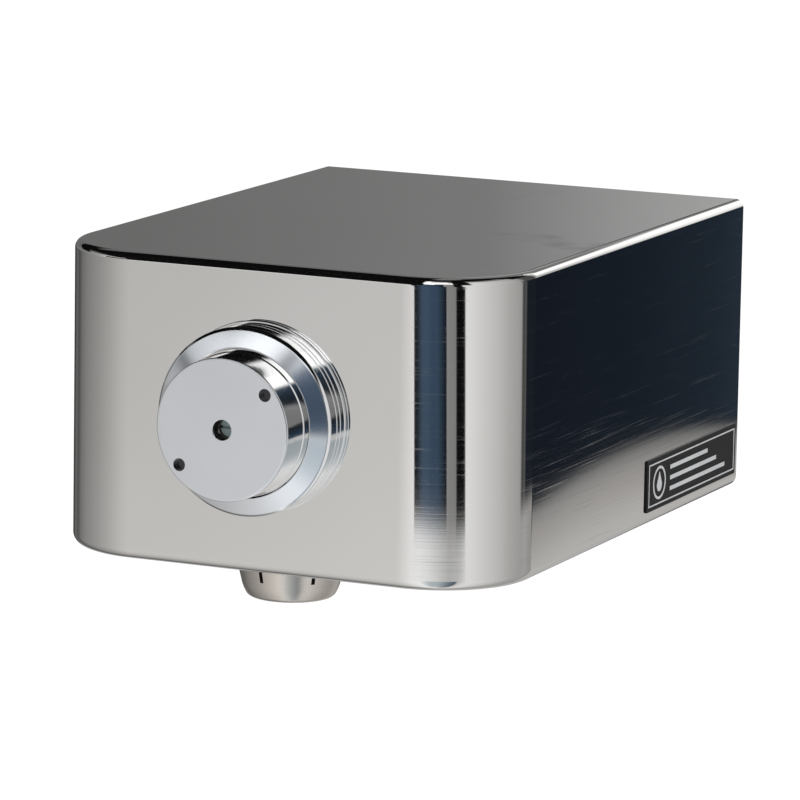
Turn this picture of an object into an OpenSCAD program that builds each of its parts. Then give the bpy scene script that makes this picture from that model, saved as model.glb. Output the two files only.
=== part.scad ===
// Wall-mounted push-button water outlet in a polished sheet-steel housing.
// Millimetres. +Z is up, +X is to the right of a person facing the wall, -Y points into the room.
// The origin is the middle of the face that lies on the wall.

/* [Housing] */
// Width across the two side walls
housing_w = 163; // [140:1:200]
// Depth from the wall to the front panel
housing_d = 217; // [200:1:260]
// Height from the underside to the top
housing_h = 102; // [96:1:130]
// Radius of the two upright front corners
corner_r = 33; // [15:1:40]
// Outside radius of the bend between the top and the walls
top_bend_r = 2.8; // [2:0.1:6]
// Outside radius of the bend between the underside and the walls
bottom_bend_r = 3.6; // [2:0.1:6]
// Thickness of the housing sheet
sheet = 1.5; // [1:0.1:1.8]

/* [Push button] */
// Height of the button's centre above the middle of the housing
valve_rise = 1.5; // [-2:0.5:6]
// Radius of the pushed cap at its face
cap_r = 23.3; // [21:0.1:25]
// How far the cap's face stands in front of the panel at rest
cap_proud = 29.5; // [28:0.5:34]
// Thickness of the cap's round wall
cap_wall = 6.5; // [5.5:0.1:8]
// Thickness of the cap's face
cap_face_t = 3; // [2:0.1:4]
// Travel of the cap when it is pushed home
cap_travel = 4.5; // [2:0.1:5]
// Radius of the hole for the flow adjuster in the middle of the cap
adjuster_hole_r = 3.3; // [3:0.1:4]
// Radius of the two spanner holes in the cap
spanner_hole_r = 2.1; // [1.5:0.1:2.5]
// Distance of the spanner holes from the edge of the cap
spanner_inset = 3.7; // [3.2:0.1:5]
// Turn of the spanner holes above the horizontal, in degrees
spanner_turn = 40; // [0:1:90]
// Outside radius of the bezel round the cap
bezel_r = 30.9; // [29:0.1:34]
// How far the bezel's outer edge stands in front of the panel
bezel_proud = 14; // [13:0.5:16]
// Extra height of the bezel's cone at its inner edge
bezel_rise = 2.2; // [1:0.1:3]
// Outside radius of the ring between the bezel and the panel
ring_r = 31.5; // [30:0.1:36]
// Thickness of that ring
ring_t = 3.4; // [2:0.1:5]

/* [Valve] */
// Radius of the valve's neck that passes through the panel
neck_r = 17; // [16:0.1:18]
// Radius of the valve's barrel behind the panel
barrel_r = 19; // [18:0.5:22]
// Length of the barrel behind the panel gasket
barrel_len = 46; // [44:1:60]
// Thickness of the rubber gasket behind the panel
panel_gasket_t = 1.5; // [1:0.1:2.5]
// Radius of the cartridge's pocket in the valve body
pocket_r = 13; // [12:0.1:14]
// Radius of the stem
stem_r = 3; // [2.5:0.1:3.5]
// Radius of the spring wire
spring_wire_r = 0.6; // [0.4:0.05:0.7]
// Number of turns of the return spring
spring_turns = 4.5; // [3:0.5:5]

/* [Outlet] */
// Distance of the outlet's centre line behind the front panel
outlet_setback = 23.6; // [22:0.1:30]
// How far the nozzle reaches below the housing
nozzle_drop = 11.4; // [8:0.1:14]
// Radius of the nozzle where it passes through the underside
nozzle_top_r = 17.8; // [16:0.1:20]
// Radius of the nozzle at its lower end
nozzle_tip_r = 15; // [14.5:0.1:16]
// Number of air slots round the nozzle
slot_count = 6; // [4:1:8]
// Width of an air slot
slot_w = 1.3; // [1:0.1:2.5]
// Radius of the mouth the water leaves through
mouth_r = 10.6; // [9:0.1:11]

/* [Supply] */
// Sideways place of the water inlet in the wall plate
inlet_x = -34; // [-40:1:-30]
// Radius at the crests of the inlet's half-inch female thread
inlet_thread_r = 9.3; // [7:0.1:9.5]
// Depth of the inlet's female thread
inlet_thread_len = 14; // [12:0.5:15]
// Outside radius of the copper supply tube
tube_r = 4.76; // [4:0.01:5]
// Wall thickness of the copper supply tube
tube_wall = 0.9; // [0.6:0.1:1.2]
// Centre-line radius of the tube's two bends
tube_bend_r = 20; // [16:1:24]
// Radius of the stop valve's ball
ball_r = 9; // [8:0.1:9.2]

/* [Wall plate] */
// Thickness of the wall plate
plate_t = 2.5; // [2:0.1:4]
// Distance between the wall bolts from side to side
bolt_dx = 120; // [90:1:130]
// Distance between the wall bolts from top to bottom
bolt_dz = 64; // [50:1:70]
// Radius of the wall bolt holes
bolt_hole_r = 3.5; // [2.5:0.1:4.5]
// Distance of the two cover screws from the wall
cover_screw_y = 12; // [10:0.5:14]
// Distance between the two cover screws
cover_screw_dx = 100; // [60:1:120]

/* [Name plate] */
// Length of the name plate along the side wall
name_len = 83; // [50:1:120]
// Height of the name plate
name_h = 18; // [12:1:24]
// Thickness of the name plate
name_t = 0.6; // [0.4:0.1:1]
// Distance of the name plate's lower edge above the underside
name_up = 5; // [5:0.5:30]
// Distance of the name plate's rear edge from the wall
name_back = 3; // [2:0.5:40]

/* [Hidden] */
$fn = 96;
touch = 0.01;
fit = 0.1;
running = 0.08;
loose = 0.5;

half_h = housing_h / 2;
half_w = housing_w / 2;
panel_in = housing_d - sheet;
valve_z = valve_rise;
inner_top = half_h - sheet;
inner_floor = -half_h + sheet;

// Places along the valve's axis, counted from the wall towards the room.
shoulder = panel_in - panel_gasket_t;
body_rear = shoulder - barrel_len;
flange_r = neck_r + 7;
flange_t = 5;
bezel_back = housing_d + ring_t;
bezel_edge = housing_d + bezel_proud;
bezel_mouth = bezel_edge + bezel_rise;
bezel_web = 5.6;
bezel_floor = bezel_back + bezel_web;
neck_end = bezel_floor - loose;
cap_front = housing_d + cap_proud;
cap_foot = bezel_floor + cap_travel + loose;
cap_band_end = bezel_mouth + 1.7;
cap_band = 0.35;
cap_bore_r = cap_r + cap_band + 0.35;
cap_boss_r = 11;
cap_under = cap_front - cap_face_t;
outlet_at = housing_d - outlet_setback;
seat_t = 3;
seat_at = outlet_at - 9.5;
seat_bore_r = 5.5;
seal_t = 1.5;
seal_r = seat_bore_r + 2;
chamber_r = 8.5;
chamber_rear = seat_at - 13;
inlet_port_r = 4.5;
tail_r = 8;
tail_len = 11;
tail_end = body_rear - tail_len;
sleeve_back = seat_at + seat_t;
sleeve_r = pocket_r - fit;
sleeve_bore_r = 8;
web_back = outlet_at + 6.6;
web_front = web_back + 6;
nut_front = neck_end - 1;
nut_t = 4;
sleeve_front = nut_front - nut_t;
stem_guide_r = stem_r + running;
head_r = 7.4;
head_back = nut_front + 1.5;
cap_seat = cap_under - 1.4;
screw_r = stem_r;
screw_bore_r = screw_r + running;
screw_front = cap_front - 5.5;
screw_back = head_back + 3;
stem_end = chamber_rear + cap_travel + 0.8;
poppet_t = 3;
spring_r = sleeve_bore_r - spring_wire_r - 1.2;
ring_depth = 1.8;
ring_thick = 0.85;
ring_w = 2.2;

// Heights along the outlet's axis.
under = -half_h;
boss_r = 13;
boss_end = valve_z - 28;
gasket_t = 1.5;
spud_r = 8;
spud_len = 12;
hex_top = boss_end - gasket_t;
hex_t = 6;
hex_r = 13.5;
hex_bottom = hex_top - hex_t;
nozzle_end = under - nozzle_drop;
nozzle_top = under + sheet + 4.5;
socket_top = hex_bottom - loose;
socket_r = 10;
socket_wall = 2;
socket_bottom = under - 0.5;
nozzle_hole_r = nozzle_top_r + 0.6 + loose;
skirt_t = 2.1;
slot_end = under - 4.5;
taper = (nozzle_top_r - nozzle_tip_r) / nozzle_drop;
tip_round = 3.7;
insert_top = socket_bottom - 2;
insert_bottom = nozzle_end + 2.4;

// Places along the supply line's axis, counted from the wall.
adapter_flange_r = 20;
adapter_flange_t = 3;
adapter_r = 14;
adapter_hole_r = adapter_r + fit;
adapter_face = plate_t + adapter_flange_t;
adapter_thread_r = 11;
adapter_end = adapter_face + 13;
adapter_screw_r = 2;
adapter_screw_pcr = 17;
stop_r = 15;
stop_back = adapter_face + 3;
stop_web = adapter_end + 0.6;
chamber_wall = 2;
ball_chamber_r = ball_r + 0.3;
rear_seat = stop_web + chamber_wall;
ptfe_t = 2;
ball_port_r = 5;
ball_mid = rear_seat + ptfe_t + 0.3 + sqrt(ball_r * ball_r - ball_port_r * ball_port_r);
front_seat = ball_mid + (ball_mid - rear_seat);
stop_front = front_seat + 8;
spindle_r = 3.5;
spindle_boss_r = 8;
spindle_drop = 22;
strainer_hex_t = 7;
strainer_hex = stop_front + loose;
strainer_r = 13;
strainer_len = 20;
strainer_neck = strainer_hex + strainer_hex_t + strainer_len;
strainer_bore_r = 9;
screen_r = 6.5;
screen_t = 0.4;
tube_start = strainer_neck - 1;
tube_end = tail_end + 11;
tube_dx = -inlet_x;
bend_lead = tube_bend_r * tan(22.5);
run_angle = 45;
bend_span = tube_dx / tan(run_angle) + 2 * bend_lead;
tube_lead = (tube_end - tube_start - bend_span) / 2;
tube_nut_r = 10;
tube_nut_len = 15;
tube_nut_cavity = 12;

// The housing's fastenings.
flange_depth = 24;
flange_w = housing_w - 2 * corner_r + 24;
rail_lip = 1.6;
rail_back = 8;
rail_step = flange_depth + 3;
rail_front = rail_step + 12;
rail_w = flange_w - 12;
cover_screw_r = 2.5;
plate_edge = 1;

// Turns a piece so that its own +Z runs from the wall into the room.
module from_wall(x = 0, z = 0) {
    translate([x, 0, z]) rotate([90, 0, 0]) children();
}

module on_valve() {
    from_wall(0, valve_z) children();
}

module on_supply() {
    from_wall(inlet_x, valve_z) children();
}

module on_outlet() {
    translate([0, -outlet_at, 0]) children();
}

// A round ring from height a to height b.
module ring(outer, inner, a, b) {
    translate([0, 0, a]) difference() {
        cylinder(r = outer, h = b - a);
        translate([0, 0, -1]) cylinder(r = inner, h = b - a + 2);
    }
}

module rod(r, a, b) {
    translate([0, 0, a]) cylinder(r = r, h = b - a);
}

module hexagon(r, a, b) {
    translate([0, 0, a]) cylinder(r = r, h = b - a, $fn = 6);
}

module o_ring(r, thick, at) {
    translate([0, 0, at]) rotate_extrude() translate([r, 0]) circle(r = thick, $fn = 24);
}

// Half of the housing's upright section: reach is its depth behind the wall line.
module wall_section(reach, low, high, r_low, r_high) {
    difference() {
        translate([0, low]) square([reach, high - low]);
        translate([reach - r_low, low]) square([r_low, r_low]);
        translate([reach - r_high, high - r_high]) square([r_high, r_high]);
    }
    intersection() {
        translate([reach - r_low, low + r_low]) circle(r = r_low);
        translate([reach - r_low, low]) square([r_low, r_low]);
    }
    intersection() {
        translate([reach - r_high, high - r_high]) circle(r = r_high);
        translate([reach - r_high, high - r_high]) square([r_high, r_high]);
    }
}

// A box with round upright front corners and bent top and bottom edges, from the wall forwards.
module bent_box(w, d, low, high, r, r_low, r_high) {
    reach = r;
    translate([-w / 2 + r, -d + r, low]) cube([w - 2 * r, d - r, high - low]);
    translate([-w / 2 + r, -d + r, 0]) rotate([90, 0, 90]) mirror([1, 0, 0])
        linear_extrude(w - 2 * r) wall_section(reach, low, high, r_low, r_high);
    for (side = [0, 1]) mirror([side, 0, 0]) {
        translate([w / 2 - r, 0, 0]) rotate([90, 0, 0])
            linear_extrude(d - r) wall_section(reach, low, high, r_low, r_high);
        translate([w / 2 - r, -d + r, 0]) rotate([0, 0, -90])
            rotate_extrude(angle = 90) wall_section(reach, low, high, r_low, r_high);
    }
}

module housing() {
    color([0.78, 0.78, 0.77]) difference() {
        bent_box(housing_w, housing_d, -half_h, half_h, corner_r, bottom_bend_r, top_bend_r);
        translate([0, 1, 0]) bent_box(housing_w - 2 * sheet, panel_in + 1, inner_floor, inner_top,
            corner_r - sheet, bottom_bend_r - sheet, top_bend_r - sheet);
        on_valve() rod(neck_r + loose, panel_in - 1, housing_d + 1);
        on_outlet() rod(nozzle_hole_r, under - 1, inner_floor + 1);
        for (side = [-1, 1]) translate([side * cover_screw_dx / 2, -cover_screw_y, 0])
            rod(cover_screw_r + loose, under - 1, inner_floor + 1);
    }
}

// A stepped strip under the top that hooks below the wall plate's upper flange.
module hang_rail() {
    lip_top = inner_top - plate_t - 0.2;
    color([0.7, 0.7, 0.7]) union() {
        translate([-rail_w / 2, -rail_front, inner_top - rail_lip])
            cube([rail_w, rail_front - rail_step, rail_lip]);
        translate([-rail_w / 2, -rail_step - rail_lip, lip_top - rail_lip])
            cube([rail_w, rail_lip, inner_top - lip_top + rail_lip]);
        translate([-rail_w / 2, -rail_step, lip_top - rail_lip])
            cube([rail_w, rail_step - rail_back, rail_lip]);
    }
}

module wall_plate() {
    plate_w = housing_w - 2 * sheet - 2 * plate_edge;
    plate_h = housing_h - 2 * sheet - 2 * max(bottom_bend_r, top_bend_r) + 2 * sheet;
    color([0.68, 0.69, 0.7]) difference() {
        union() {
            translate([-plate_w / 2, -plate_t, -plate_h / 2]) cube([plate_w, plate_t, plate_h]);
            for (low = [inner_floor, inner_top - plate_t]) translate([-flange_w / 2, -flange_depth, low])
                cube([flange_w, flange_depth, plate_t]);
        }
        for (x = [-1, 1], z = [-1, 1]) from_wall(x * bolt_dx / 2, z * bolt_dz / 2)
            rod(bolt_hole_r, -1, plate_t + 1);
        on_supply() rod(adapter_hole_r, -1, plate_t + 1);
        on_supply() adapter_screw_places() rod(adapter_screw_r + fit, -1, plate_t + 1);
        for (side = [-1, 1]) translate([side * cover_screw_dx / 2, -cover_screw_y, 0])
            rod(cover_screw_r + loose, inner_floor - 1, inner_floor + plate_t + 1);
    }
}

module weld_nuts() {
    color([0.6, 0.6, 0.6]) for (side = [-1, 1]) translate([side * cover_screw_dx / 2, -cover_screw_y, 0])
        difference() {
            hexagon(4.8, inner_floor + plate_t, inner_floor + plate_t + 4);
            rod(cover_screw_r + fit, inner_floor + plate_t - 1, inner_floor + plate_t + 5);
        }
}

// Button-head screws with a hexagon socket and a centre pin against tampering.
module cover_screws() {
    head_r = 4.75;
    head_h = 2.75;
    color([0.75, 0.75, 0.75]) for (side = [-1, 1]) translate([side * cover_screw_dx / 2, -cover_screw_y, 0]) {
        difference() {
            translate([0, 0, under]) mirror([0, 0, 1]) rotate_extrude() intersection() {
                translate([0, head_h - head_r * 1.25]) circle(r = head_r * 1.25);
                square([head_r, head_h]);
            }
            hexagon(1.9, under - head_h - 1, under - 1.1);
        }
        rod(0.6, under - head_h + 0.5, under - 1.1 + touch);
        rod(cover_screw_r, under - touch, inner_floor + plate_t + 4.5);
    }
}

// Places a flat outline on the right side wall: its x runs towards the wall, its y runs up.
module on_side(at, thick) {
    translate([half_w + at, -name_back - name_len / 2, under + name_up + name_h / 2]) rotate([90, 0, 90])
        linear_extrude(thick) children();
}

module name_plate() {
    color([0.05, 0.05, 0.06]) on_side(0, name_t) square([name_len, name_h], center = true);
}

module name_plate_rim() {
    inset = 1.6;
    line = 0.5;
    color([0.75, 0.76, 0.78]) on_side(name_t, 0.08) difference() {
        square([name_len - 2 * inset, name_h - 2 * inset], center = true);
        square([name_len - 2 * inset - 2 * line, name_h - 2 * inset - 2 * line], center = true);
    }
}

// A plain water drop in a ring and three level bars.
module name_plate_emblem() {
    emblem_r = name_h * 0.32;
    drop_r = emblem_r * 0.38;
    mark_x = -name_len / 2 + name_h * 0.62;
    bar_h = name_h * 0.08;
    color([0.75, 0.76, 0.78]) on_side(name_t, 0.08) {
        translate([mark_x, 0]) difference() {
            circle(r = emblem_r);
            circle(r = emblem_r - 0.9);
        }
        translate([mark_x, -drop_r * 0.4]) circle(r = drop_r);
        translate([mark_x, -drop_r * 0.4])
            polygon([[-drop_r * 0.86, drop_r * 0.5], [drop_r * 0.86, drop_r * 0.5], [0, drop_r * 2.2]]);
        for (k = [0:2]) translate([mark_x + emblem_r * 1.7, (k - 1) * bar_h * 2.6 - bar_h / 2])
            square([name_len * (0.62 - 0.1 * k), bar_h]);
    }
}

module base_ring() {
    groove = 0.6;
    color([0.8, 0.8, 0.8]) on_valve() difference() {
        ring(ring_r, neck_r + fit, housing_d, bezel_back);
        ring(ring_r + 1, ring_r - groove, housing_d + ring_t * 0.4, housing_d + ring_t * 0.4 + groove);
    }
}

module bezel() {
    groove = 0.6;
    groove_gap = 2.6;
    edge = 0.8;
    color([0.8, 0.8, 0.8]) on_valve() difference() {
        rotate_extrude() polygon([[neck_r + fit, bezel_back], [bezel_r, bezel_back],
            [bezel_r, bezel_edge - edge], [bezel_r - edge, bezel_edge],
            [cap_bore_r + groove, bezel_mouth], [cap_bore_r, bezel_mouth - groove],
            [cap_bore_r, bezel_floor], [neck_r + fit, bezel_floor]]);
        for (at = [bezel_back + groove_gap, bezel_back + 2 * groove_gap])
            ring(bezel_r + 1, bezel_r - groove, at, at + groove);
    }
}

module panel_gasket() {
    color([0.1, 0.1, 0.1]) on_valve() ring(flange_r, neck_r + loose, shoulder, panel_in);
}

// The solid-walled cap, screwed onto the stem's head.
module push_cap() {
    edge = 0.5;
    color([0.78, 0.8, 0.82]) on_valve() difference() {
        rotate_extrude() polygon([[0, cap_seat - 6], [cap_boss_r, cap_seat - 6], [cap_boss_r, cap_under],
            [cap_r - cap_wall, cap_under], [cap_r - cap_wall, cap_foot], [cap_r + cap_band, cap_foot],
            [cap_r + cap_band, cap_band_end], [cap_r, cap_band_end + cap_band], [cap_r, cap_front - edge],
            [cap_r - edge, cap_front], [0, cap_front]]);
        rod(head_r + fit, cap_seat - 7, cap_seat);
        rod(adjuster_hole_r, cap_seat - 1, cap_front + 1);
        for (half = [0, 180]) rotate([0, 0, spanner_turn + half]) translate([cap_r - spanner_inset, 0, 0])
            rod(spanner_hole_r, cap_front - 4, cap_front + 1);
    }
}

module stem() {
    color([0.72, 0.6, 0.35]) on_valve() difference() {
        union() {
            rod(head_r, head_back, cap_seat - fit);
            rod(stem_r, stem_end, head_back + touch);
        }
        rod(screw_bore_r, screw_back - 1, cap_front);
    }
}

// Slotted screw that sets the flow, reached through the hole in the cap.
module flow_screw() {
    slot = 1;
    color([0.55, 0.62, 0.6]) on_valve() difference() {
        rod(screw_r, screw_back, screw_front);
        translate([-screw_r - 1, -slot / 2, screw_front - 1.4]) cube([2 * screw_r + 2, slot, 2]);
    }
}

// One ring of the wire's section at turn angle a, and the faces that join the rings.
function wire_point(a, s, pitch) = [
    (spring_r + spring_wire_r * cos(s)) * cos(a),
    (spring_r + spring_wire_r * cos(s)) * sin(a),
    spring_wire_r * sin(s) + pitch * a / 360
];

module return_spring() {
    sides = 8;
    steps = ceil(spring_turns * 20);
    span = head_back - web_front - 2 * spring_wire_r - 2 * 0.15;
    pitch = span / spring_turns;
    points = [for (i = [0:steps], j = [0:sides - 1])
        wire_point(i * 360 * spring_turns / steps, j * 360 / sides, pitch)];
    walls = [for (i = [0:steps - 1], j = [0:sides - 1])
        [i * sides + j, (i + 1) * sides + j, (i + 1) * sides + (j + 1) % sides, i * sides + (j + 1) % sides]];
    ends = [[for (j = [0:sides - 1]) j], [for (j = [sides - 1:-1:0]) steps * sides + j]];
    color([0.7, 0.7, 0.72]) on_valve() translate([0, 0, web_front + spring_wire_r + 0.15])
        polyhedron(points = points, faces = concat(walls, ends), convexity = 8);
}

module poppet() {
    color([0.72, 0.6, 0.35]) on_valve()
        ring(seal_r, stem_r + fit, seat_at - fit - seal_t - poppet_t, seat_at - fit - seal_t);
}

module poppet_seal() {
    color([0.08, 0.08, 0.08]) on_valve() ring(seal_r, stem_r + fit, seat_at - fit - seal_t, seat_at - fit);
}

module poppet_nut() {
    top = seat_at - fit - seal_t - poppet_t;
    color([0.75, 0.75, 0.75]) on_valve() difference() {
        hexagon(4.6, max(stem_end, top - 2.4), top);
        rod(stem_r + fit, stem_end - 1, top + 1);
    }
}

module valve_body() {
    color([0.7, 0.58, 0.36]) difference() {
        union() {
            on_valve() {
                rod(neck_r, shoulder - touch, neck_end);
                rod(flange_r, shoulder - flange_t, shoulder);
                rod(barrel_r, body_rear, shoulder - flange_t + touch);
                rod(tail_r, tail_end, body_rear + touch);
            }
            on_outlet() rod(boss_r, boss_end, valve_z);
        }
        on_valve() {
            rod(pocket_r, seat_at, neck_end + 1);
            rod(chamber_r, chamber_rear, seat_at + touch);
            rod(inlet_port_r, tail_end + 11, chamber_rear + touch);
            rod(tube_r + fit, tail_end - 1, tail_end + 11 + touch);
        }
        on_outlet() {
            rod(spud_r, boss_end - 1, boss_end + spud_len);
            rod(ball_port_r, boss_end + spud_len - touch, valve_z - pocket_r + 4);
        }
    }
}

module valve_seat() {
    color([0.8, 0.8, 0.75]) on_valve() ring(sleeve_r, seat_bore_r, seat_at, sleeve_back);
}

module ring_groove(at) {
    ring(sleeve_r + 1, sleeve_r - ring_depth, at - ring_w / 2, at + ring_w / 2);
}

module cartridge_sleeve() {
    color([0.72, 0.6, 0.35]) on_valve() difference() {
        rod(sleeve_r, sleeve_back, sleeve_front);
        rod(sleeve_bore_r, sleeve_back - 1, web_back);
        rod(stem_guide_r, web_back - 1, web_front + 1);
        rod(sleeve_bore_r, web_front, sleeve_front + 1);
        rod(stem_guide_r + ring_depth, (web_back + web_front) / 2 - 1, (web_back + web_front) / 2 + 1);
        for (turn = [0:90:270]) rotate([0, 0, turn]) translate([0, 0, outlet_at]) rotate([90, 0, 0])
            cylinder(r = 3.2, h = pocket_r + 1);
        ring_groove(web_back + 1.5);
        ring_groove(sleeve_front - 3);
    }
}

module cartridge_nut() {
    color([0.7, 0.58, 0.36]) on_valve() ring(sleeve_r, sleeve_bore_r + 1, sleeve_front, nut_front);
}

module sleeve_o_rings() {
    color([0.05, 0.05, 0.05]) on_valve() {
        o_ring(sleeve_r - ring_thick, ring_thick, web_back + 1.5);
        o_ring(sleeve_r - ring_thick, ring_thick, sleeve_front - 3);
    }
}

module stem_o_ring() {
    color([0.05, 0.05, 0.05]) on_valve()
        o_ring(stem_r + running + ring_thick, ring_thick, (web_back + web_front) / 2);
}

module outlet_gasket() {
    color([0.1, 0.1, 0.1]) on_outlet() ring(boss_r - 1, spud_r + fit, hex_top, boss_end);
}

module outlet_spud() {
    color([0.72, 0.6, 0.35]) on_outlet() difference() {
        union() {
            rod(spud_r - fit, hex_top - touch, boss_end + spud_len - loose);
            hexagon(hex_r, hex_bottom, hex_top);
            rod(socket_r - fit, socket_bottom + 3, hex_bottom + touch);
        }
        rod(ball_port_r, socket_bottom, boss_end + spud_len);
    }
}

// A tapered shroud with air slots round a socket that screws onto the spud.
module nozzle() {
    top_r = nozzle_top_r + taper * (nozzle_top - under);
    collar_r = socket_r + socket_wall;
    web_top = nozzle_end + 5.2;
    color([0.7, 0.68, 0.65]) on_outlet() difference() {
        union() {
            rotate_extrude() polygon([[mouth_r, nozzle_end], [nozzle_tip_r - tip_round, nozzle_end],
                [nozzle_tip_r - 0.6, nozzle_end + 0.6],
                [nozzle_tip_r + taper * tip_round, nozzle_end + tip_round],
                [top_r, nozzle_top], [top_r - skirt_t, nozzle_top],
                [collar_r + 0.9, web_top], [mouth_r, web_top]]);
            ring(collar_r, mouth_r, web_top - 1, socket_bottom);
            ring(collar_r, socket_r, socket_bottom - touch, socket_top);
        }
        for (k = [0:slot_count - 1]) rotate([0, 0, -99.5 + k * 360 / slot_count])
            translate([collar_r + 0.7, -slot_w / 2, slot_end])
                cube([skirt_t * 3, slot_w, nozzle_top - slot_end + 1]);
        ring(mouth_r + 0.8, mouth_r - 1, insert_bottom - 1.2, insert_bottom);
    }
}

// A perforated disc above the straightener.
module nozzle_screen() {
    color([0.6, 0.6, 0.6]) on_outlet() difference() {
        rod(mouth_r - fit, insert_top, insert_top + 0.6);
        for (row = [0:3], k = [0:max(0, 6 * row - 1)]) rotate([0, 0, row == 0 ? 0 : k * 60 / row])
            translate([row * 2.5, 0, 0]) rod(0.7, insert_top - 1, insert_top + 2);
    }
}

module flow_straightener() {
    color([0.85, 0.85, 0.85]) on_outlet() difference() {
        rod(mouth_r - fit, insert_bottom, insert_top);
        for (row = [0:3], k = [0:max(0, 6 * row - 1)]) rotate([0, 0, row == 0 ? 0 : k * 60 / row])
            translate([row * 2.7, 0, 0]) rod(1, insert_bottom - 1, insert_top + 1);
    }
}

module snap_ring() {
    color([0.7, 0.7, 0.7]) on_outlet() difference() {
        ring(mouth_r + 0.6, mouth_r - 1.2, insert_bottom - 1.1, insert_bottom - fit);
        translate([0, -1, insert_bottom - 3]) cube([mouth_r + 2, 2, 4]);
    }
}

module adapter_screw_places() {
    for (turn = [90, 210, 330]) rotate([0, 0, turn]) translate([adapter_screw_pcr, 0, 0]) children();
}

module inlet_adapter() {
    color([0.72, 0.6, 0.35]) on_supply() difference() {
        union() {
            rod(adapter_r, 0, plate_t + touch);
            rod(adapter_flange_r, plate_t, adapter_face);
            rod(adapter_thread_r, adapter_face - touch, adapter_end);
        }
        rod(inlet_thread_r, -1, inlet_thread_len);
        rod(7, inlet_thread_len - touch, adapter_end + 1);
        adapter_screw_places() rod(adapter_screw_r + fit, plate_t - 1, adapter_face + 1);
    }
}

module adapter_screws() {
    color([0.75, 0.75, 0.75]) on_supply() adapter_screw_places() difference() {
        union() {
            rod(adapter_screw_r, 0.3, adapter_face + touch);
            rod(2.9, adapter_face, adapter_face + 2);
        }
        for (turn = [0, 90]) rotate([0, 0, turn]) translate([-2, -0.4, adapter_face + 1]) cube([4, 0.8, 2]);
    }
}

module stop_body() {
    color([0.7, 0.58, 0.36]) on_supply() difference() {
        union() {
            rod(stop_r, stop_back, stop_front);
            translate([0, 0, ball_mid]) rotate([90, 0, 0]) rod(spindle_boss_r, 0, spindle_drop);
        }
        rod(adapter_thread_r + fit, stop_back - 1, stop_web);
        rod(ball_port_r, stop_web - 1, rear_seat + 1);
        rod(ball_chamber_r, rear_seat, stop_front + 1);
        translate([0, 0, ball_mid]) rotate([90, 0, 0]) {
            rod(spindle_r + running, ball_r - 1, spindle_drop + 1);
            rod(spindle_r + 1.9, spindle_drop - 5, spindle_drop + 1);
        }
    }
}

module stop_seats() {
    color([0.92, 0.92, 0.9]) on_supply() {
        ring(ball_chamber_r - fit, ball_port_r, rear_seat, rear_seat + ptfe_t);
        ring(ball_chamber_r - fit, ball_port_r, front_seat - ptfe_t, front_seat);
    }
}

module stop_ball() {
    color([0.8, 0.8, 0.8]) on_supply() translate([0, 0, ball_mid]) difference() {
        sphere(r = ball_r);
        rod(ball_port_r - 0.5, -ball_r - 1, ball_r + 1);
        rotate([90, 0, 0]) translate([-1.7, -4, ball_r - 2.6]) cube([3.4, 8, 4]);
    }
}

// The stop's spindle: its tongue fits the ball's slot, its slotted end faces down.
module stop_spindle() {
    end = spindle_drop + 9;
    color([0.72, 0.6, 0.35]) on_supply() translate([0, 0, ball_mid]) rotate([90, 0, 0]) difference() {
        union() {
            rod(spindle_r, ball_r + 0.2, end);
            translate([-1.6, -3, ball_r - 2.4]) cube([3.2, 6, 3]);
        }
        translate([-0.6, -spindle_r - 1, end - 1.8]) cube([1.2, 2 * spindle_r + 2, 3]);
    }
}

module packing_ring() {
    color([0.15, 0.15, 0.15]) on_supply() translate([0, 0, ball_mid]) rotate([90, 0, 0])
        ring(spindle_r + 1.9 - fit, spindle_r + running, spindle_drop - 5, spindle_drop - 1);
}

module packing_nut() {
    color([0.7, 0.58, 0.36]) on_supply() translate([0, 0, ball_mid]) rotate([90, 0, 0]) difference() {
        hexagon(spindle_boss_r + 2.6, spindle_drop - 6, spindle_drop + 3);
        rod(spindle_boss_r + fit, spindle_drop - 7, spindle_drop);
        rod(spindle_r + running, spindle_drop - 1, spindle_drop + 4);
    }
}

module strainer_body() {
    color([0.7, 0.58, 0.36]) on_supply() difference() {
        union() {
            rod(ball_chamber_r - fit, front_seat, strainer_hex + touch);
            hexagon(stop_r + 1, strainer_hex, strainer_hex + strainer_hex_t);
            rod(strainer_r, strainer_hex + strainer_hex_t - touch, strainer_neck);
            rod(tail_r, strainer_neck - touch, strainer_neck + tail_len);
        }
        rod(ball_port_r, front_seat - 1, strainer_hex + 1);
        rod(strainer_bore_r, strainer_hex, strainer_neck - 3);
        rod(ball_port_r - 1.2, strainer_neck - 4, strainer_neck);
        rod(tube_r + fit, strainer_neck - 1, strainer_neck + tail_len + 1);
    }
}

// A perforated basket, open towards the stop.
module strainer_screen() {
    first = strainer_hex + 0.2;
    last = strainer_neck - 6;
    rows = 4;
    gap = (last - first - 4) / rows;
    color([0.75, 0.75, 0.72]) on_supply() difference() {
        union() {
            ring(screen_r, screen_r - screen_t, first, last);
            rod(screen_r, last - screen_t, last);
            ring(strainer_bore_r - fit, screen_r - screen_t, first, first + 1);
        }
        for (row = [0:rows - 1], turn = [0:45:135]) translate([0, 0, first + 3 + row * gap])
            rotate([90, 0, turn + 22.5 * (row % 2)]) cylinder(r = 1.1, h = 30, center = true);
    }
}

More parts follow.
